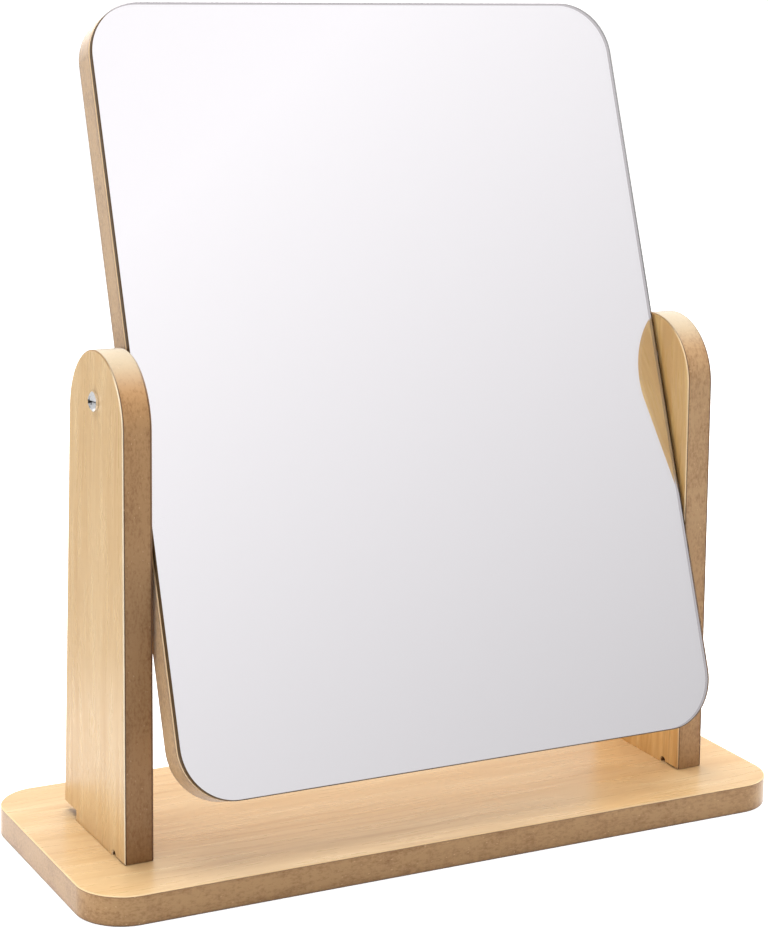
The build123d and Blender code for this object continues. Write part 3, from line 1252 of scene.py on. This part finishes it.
@dataclass
class Pivots:
    """The two pan-head screws that carry the panel, and the nylon washers that space it from the uprights."""

    DOME_STEPS = 16
    SCREW_STEPS = 72
    WASHER_STEPS = 64
    WALL_FACING = 0.9

    effects: Effects
    outer_face: float = 107.4
    inner_face: float = 97.7
    panel_edge: float = 96.7
    pivot_height: float = 150.5
    shank: float = 1.5
    root: float = 1.0
    length: float = 25.0
    point: float = 4.0
    plain_shank: float = 11.0
    neck: float = 0.6
    thread_start: float = 12.2
    thread_pitch: float = 1.35
    thread_ridge: float = 0.45
    thread_tip: float = 0.12
    bare_tip: float = 0.9
    head: float = 3.1
    head_height: float = 2.1
    rim_height: float = 0.9
    ease: float = 0.12
    recess_span: float = 3.8
    recess_slot: float = 1.3
    recess_depth: float = 1.3
    recess_draft: float = 12.0
    washer: float = 3.2
    washer_bore: float = 1.58

    def build(self) -> list[Piece]:
        """Makes both pivots and puts them on the mirror.

        Returns:
            The six pieces.
        """
        effects = self.effects
        finishes = {
            "screw_plate": PlainFinish(effects, (0.97, 0.97, 0.98), (0.80, 0.80, 0.82), (0.10, 0.24),
                                       grain_size=0.5, metallic=1.0, depth_mm=0.006),
            # The recess's dark plate is painted shade.
            "screw_recess": PlainFinish(effects, (0.10, 0.095, 0.09), (0.20, 0.19, 0.18), (0.25, 0.4),
                                        grain_size=0.4, metallic=1.0, depth_mm=0.006),
            "washer_nylon": PlainFinish(effects, srgb(238, 234, 222), srgb(220, 214, 200), (0.35, 0.5),
                                        grain_size=0.8),
        }
        threads, pieces = ThreadTree(), []
        for side in Side:
            at_face = side.value * self.outer_face
            lie = Lie(Axes.UPRIGHT, (at_face, 0.0, self.pivot_height), offset=side.value * 5.0)
            plate, painted_recess_shade, nylon = (finish.material(f"{side.label}_{ending}", lie)
                                  for ending, finish in finishes.items())
            seat = side_plane(at_face, self.pivot_height, -side.value)
            screw = f"{side.label}_pivot_screw"
            for piece, nodes, slot in (
                (self._screw_body(f"{screw}_body", plate, painted_recess_shade, seat), (screw,), Slot.SCREW),
                (self._thread(f"{screw}_thread", threads, plate, seat), (), Slot.SCREW),
                (self._washer(f"{side.label}_washer_ring", nylon, side), (f"{side.label}_pivot_washer",),
                 Slot.WASHER),
            ):
                pieces.append(hand_over(piece, Body.MIRROR, nodes))
        return pieces

    def _screw_body(self, name: str, finish: Material, recess: Material, seat: Matrix) -> Piece:
        """The screw without its thread: a domed head with a cross recess, a plain shank and a pointed root.

        Args:
            name: The piece's name.
            finish: Its finish.
            recess: The finish inside the recess, a dark plate that is painted shade.
            seat: The plane under the head, whose normal runs down the shank.

        Returns:
            The piece.
        """
        rise = self.head_height - self.rim_height
        sphere = (self.head ** 2 + rise ** 2) / (2 * rise)
        spread = acos((sphere - rise) / sphere)
        turns = [spread * step / self.DOME_STEPS for step in range(self.DOME_STEPS + 1)]
        profile = [(sphere * sin(turn), -self.head_height + sphere * (1 - cos(turn))) for turn in turns]
        profile += [(self.head, -self.ease), (self.head - self.ease, 0.0), (self.shank, 0.0),
                    (self.shank, self.plain_shank), (self.root, self.plain_shank + self.neck),
                    (self.root, self.length - self.point), (0.0, self.length)]
        turned, cutter = lathe(name, profile, self.SCREW_STEPS, finish), self._recess_cutter(recess)
        cut = turned.modifiers.new("cut", "BOOLEAN")
        cut.operation, cut.solver, cut.object, cut.material_mode = "DIFFERENCE", "EXACT", cutter, "TRANSFER"
        solid = baked(turned, cutter)
        # The side walls of the cross's upright arms are as bright as the head.
        # They take its plate, not the recess's painted shade.
        for face in solid.polygons:
            if abs(face.normal.x) > self.WALL_FACING and abs(face.center.y) > self.recess_slot / 2:
                face.material_index = 0
        solid.transform(seat @ Matrix.Scale(MM, 4))
        tidy_mesh(solid, crease_degrees=28.0)
        return linked(name, solid)

    def _recess_cutter(self, finish: Material) -> Piece:
        """A tapered cross that stands over the head's crown and reaches down to the recess's floor.

        Args:
            finish: The finish that it leaves on the recess, a painted shade.

        Returns:
            The cutter.
        """
        overshoot = 0.5
        shape = bmesh.new()
        rings = []
        for depth in (-overshoot, self.recess_depth):
            narrow = depth * tan(radians(self.recess_draft))
            long, short = self.recess_span / 2 - narrow, self.recess_slot / 2 - narrow
            turns = [Matrix.Rotation(quarter * pi / 2, 2) for quarter in range(4)]
            corners = [Vector(corner) for corner in ((long, -short), (long, short), (short, short))]
            rings.append([shape.verts.new((*(turn @ corner), depth - self.head_height))
                          for turn in turns for corner in corners])
        top, floor = rings
        for step in range(len(top)):
            after = (step + 1) % len(top)
            shape.faces.new((top[step], top[after], floor[after], floor[step]))
        shape.faces.new(list(reversed(top)))
        shape.faces.new(floor)
        mesh = new_mesh("recess_cutter", shape)
        mesh.materials.append(finish)
        return linked("recess_cutter", mesh)

    def _thread(self, name: str, threads: ThreadTree, finish: Material, seat: Matrix) -> Piece:
        """The screw's thread, from the end of the plain shank to the point.

        Args:
            name: The piece's name.
            threads: The tree that winds it.
            finish: Its finish.
            seat: The plane under the head, whose normal runs down the shank.

        Returns:
            The piece.
        """
        values = {"Root Radius": self.shank - self.thread_ridge, "Tip Radius": self.thread_tip,
                  "Ridge": self.thread_ridge, "Straight Length": self.length - self.point - self.thread_start,
                  "Tip Length": self.point - self.bare_tip, "Pitch": self.thread_pitch}
        values = {key: value * MM for key, value in values.items()} | {"Finish": finish}
        mesh = grown(f"{name}_start", bpy.data.meshes.new(name), threads.tree, values)
        mesh.transform(seat @ Matrix.Translation((0.0, 0.0, self.thread_start * MM)))
        tidy_mesh(mesh, crease_degrees=40.0)
        return linked(name, mesh)

    def _washer(self, name: str, finish: Material, side: Side) -> Piece:
        """The washer between an upright and the panel, with its corners eased.

        Args:
            name: The piece's name.
            finish: Its finish.
            side: Its side.

        Returns:
            The piece.
        """
        bore, rim, ease, width = self.washer_bore, self.washer, self.ease, self.inner_face - self.panel_edge
        profile = [(bore, ease), (bore + ease, 0.0), (rim - ease, 0.0), (rim, ease), (rim, width - ease),
                   (rim - ease, width), (bore + ease, width), (bore, width - ease)]
        ring = lathe(name, profile, self.WASHER_STEPS, finish, closed=True)
        place = side_plane(side.value * self.panel_edge, self.pivot_height, side.value)
        ring.data.transform(place @ Matrix.Scale(MM, 4))
        tidy_mesh(ring.data)
        return ring


# ---- the studio


@dataclass(frozen=True)
class Softbox:
    """A soft square lamp that faces the object and shows neither to the camera nor in gloss."""

    name: str
    place: Triple
    side: float
    power: float
    aim: Triple = (0.0, 0.0, 0.08)

    def build(self) -> None:
        """Makes the lamp."""
        lamp = bpy.data.lights.new(self.name, "AREA")
        lamp.shape, lamp.size, lamp.energy = "SQUARE", self.side, self.power
        holder = linked(self.name, lamp)
        holder.location = self.place
        holder.rotation_euler = (Vector(self.aim) - Vector(self.place)).to_track_quat("-Z", "Y").to_euler()
        holder.visible_camera = holder.visible_glossy = holder.visible_transmission = False


@dataclass
class Studio:
    """The white floor, the white surroundings, the soft lamps and the camera."""

    softboxes: tuple[Softbox, ...] = (
        Softbox("overhead_softbox", (-0.03, 0.0, 0.87), 0.98, 14.5),
        Softbox("right_softbox", (0.8, 0.0, 0.3), 0.5, 4.2),
        Softbox("left_softbox", (-0.8, 0.05, 0.3), 0.5, 1.7),
        Softbox("rear_softbox", (0.0, 0.5, 0.6), 0.5, 2.1),
    )
    back_light: float = 0.80
    fill_light: float = 0.03
    back_light_turn: tuple[float, float] = (-0.2, 0.7)
    back_gloss: float = 0.74
    back_gloss_turn: tuple[float, float] = (-0.45, 0.05)
    front_gloss: float = 0.736
    front_gloss_rightwards: float = -0.678
    front_gloss_upwards: float = 1.233
    front_gloss_range: tuple[float, float] = (0.56, 1.10)
    front_tint: Colour = (1.0, 0.956, 0.992)
    floor_size: float = 30.0
    floor_level: float = -0.0001
    floor_white: float = 0.80
    floor_glow: float = 0.68
    far_floor_glow: float = 1.0
    glow_reach: tuple[float, float] = (0.30, 1.2)
    far_floor_gloss: float = 0.40
    gloss_reach: tuple[float, float] = (0.20, 0.28)
    horizon_gloss: float = 0.58
    horizon_reach: tuple[float, float] = (0.6, 1.3)
    horizon_left: tuple[float, float] = (-0.93, -0.75)
    focal_pixels: float = 2400.85
    frame_pixels: tuple[int, int] = (768, 932)
    sensor_width: float = 36.0
    clip: tuple[float, float] = (0.01, 100.0)
    axis_row: float = 320.0
    yaw: float = 27.94
    pitch: float = 9.70
    roll: float = -1.36
    eye_mm: Triple = (-368.05, -679.54, 301.46)

    def build(self) -> None:
        """Makes the whole studio."""
        self._world()
        self._floor()
        for softbox in self.softboxes:
            softbox.build()
        self._camera()
        bpy.context.scene.view_settings.view_transform = "Standard"

    def _world(self) -> None:
        """White to the camera, a light backdrop behind the object, and a studio that the gloss reflects.

        In front of the object the reflected studio falls from white, up and to the left, to a light grey,
        low and to the right. Behind it, it is an even light grey.
        """
        world = bpy.data.worlds.new("studio")
        world.use_nodes = True
        world.node_tree.nodes.clear()
        graph = Graph(world.node_tree)
        rightwards, backwards, upwards = graph.parts(graph.coordinates("Generated"))
        tone = graph.math("MULTIPLY_ADD", rightwards, self.front_gloss_rightwards, self.front_gloss)
        tone = graph.math("MULTIPLY_ADD", upwards, self.front_gloss_upwards, tone)
        front = graph.shaded(self.front_tint, graph.clamp(tone, *self.front_gloss_range))
        mirrored = graph.blend(graph.ramp(backwards, *self.back_gloss_turn), front, (self.back_gloss,) * 3)
        behind = graph.ramp(backwards, *self.back_light_turn, self.fill_light, self.back_light)
        backdrop, gloss, white = (
            graph.get("ShaderNodeBackground", {"Color": colour, "Strength": strength})
            for colour, strength in ((WHITE, behind), (mirrored, 1.0), (WHITE, 1.0)))
        shiny = graph.math("MAXIMUM", graph.ray("Glossy"), graph.ray("Transmission"))
        lit = graph.get("ShaderNodeMixShader", {0: shiny, 1: backdrop, 2: gloss})
        seen = graph.get("ShaderNodeMixShader", {0: graph.ray("Camera"), 1: lit, 2: white})
        graph.add("ShaderNodeOutputWorld", {"Surface": seen})
        bpy.context.scene.world = world

    def _floor(self) -> None:
        """A white floor that the camera sees as white, apart from the object's shadow.

        Gloss sees it dimmed away from the object, and lit again at the horizon, except to the left.
        """
        reach = self.floor_size / 2
        corners = [(x * reach, y * reach, self.floor_level) for x, y in ((-1, -1), (1, -1), (1, 1), (-1, 1))]
        mesh = bpy.data.meshes.new("floor")
        mesh.from_pydata(corners, [], [(0, 1, 2, 3)])
        material = bpy.data.materials.new("floor_white")
        material.use_nodes = True
        material.node_tree.nodes.clear()
        graph = Graph(material.node_tree)
        seen, shiny, place = graph.ray("Camera"), graph.ray("Glossy"), graph.coordinates("Object")
        distance = graph.add("ShaderNodeVectorMath", {0: place}, operation="LENGTH").outputs["Value"]
        near = graph.ramp(distance, *self.gloss_reach, 1.0, self.far_floor_gloss)
        dimmed = graph.math("MULTIPLY_ADD", shiny, graph.math("SUBTRACT", near, 1.0), 1.0)
        white = graph.grey(graph.times(dimmed, self.floor_white))
        matt = graph.get("ShaderNodeBsdfDiffuse", {"Color": white})
        brightness = graph.ramp(distance, *self.glow_reach, self.floor_glow, self.far_floor_glow)
        leftwards = graph.parts(graph.vector_math("NORMALIZE", place))[0]
        mirrored = graph.times(graph.ramp(distance, *self.horizon_reach, 0.0, self.horizon_gloss),
                               graph.ramp(leftwards, *self.horizon_left))
        strength = graph.math("MULTIPLY_ADD", shiny, mirrored, graph.times(seen, brightness))
        glow = graph.get("ShaderNodeEmission", {"Color": WHITE, "Strength": strength})
        both = graph.get("ShaderNodeAddShader", {0: matt, 1: glow})
        graph.add("ShaderNodeOutputMaterial", {"Surface": both})
        mesh.materials.append(material)
        linked("floor", mesh)

    def _camera(self) -> None:
        """The camera: its view of the object, with the lens axis a little above the frame's middle."""
        yaw, pitch, roll = radians(self.yaw), radians(self.pitch), radians(self.roll)
        ahead = Vector((sin(yaw) * cos(pitch), cos(yaw) * cos(pitch), -sin(pitch)))
        level = Vector((cos(yaw), -sin(yaw), 0.0))
        below = ahead.cross(level)
        right = cos(roll) * level + sin(roll) * below
        down = cos(roll) * below - sin(roll) * level
        camera = bpy.data.cameras.new("camera")
        tall = max(self.frame_pixels)
        camera.sensor_width = self.sensor_width
        camera.lens = self.focal_pixels / tall * self.sensor_width
        camera.shift_y = (self.axis_row - self.frame_pixels[1] / 2) / tall
        camera.clip_start, camera.clip_end = self.clip
        holder = linked("camera", camera)
        turn = Matrix((right, -down, -ahead)).transposed().to_4x4()
        holder.matrix_world = Matrix.Translation(Vector(self.eye_mm) * MM) @ turn
        bpy.context.scene.camera = holder


def main() -> None:
    """Builds the stand, the panel and the pivots, reports each piece, and sets up the studio."""
    logging.basicConfig(level=logging.INFO, format="%(name)s: %(message)s")
    effects = Effects()
    board = Board(LayerTree(), effects)
    for assembly in (Stand(board), MirrorPanel(board), Pivots(effects)):
        for piece in assembly.build():
            LOG.info("%s: %d faces", piece.name, len(piece.data.polygons))
    Studio().build()


if __name__ == "__main__":
    main()
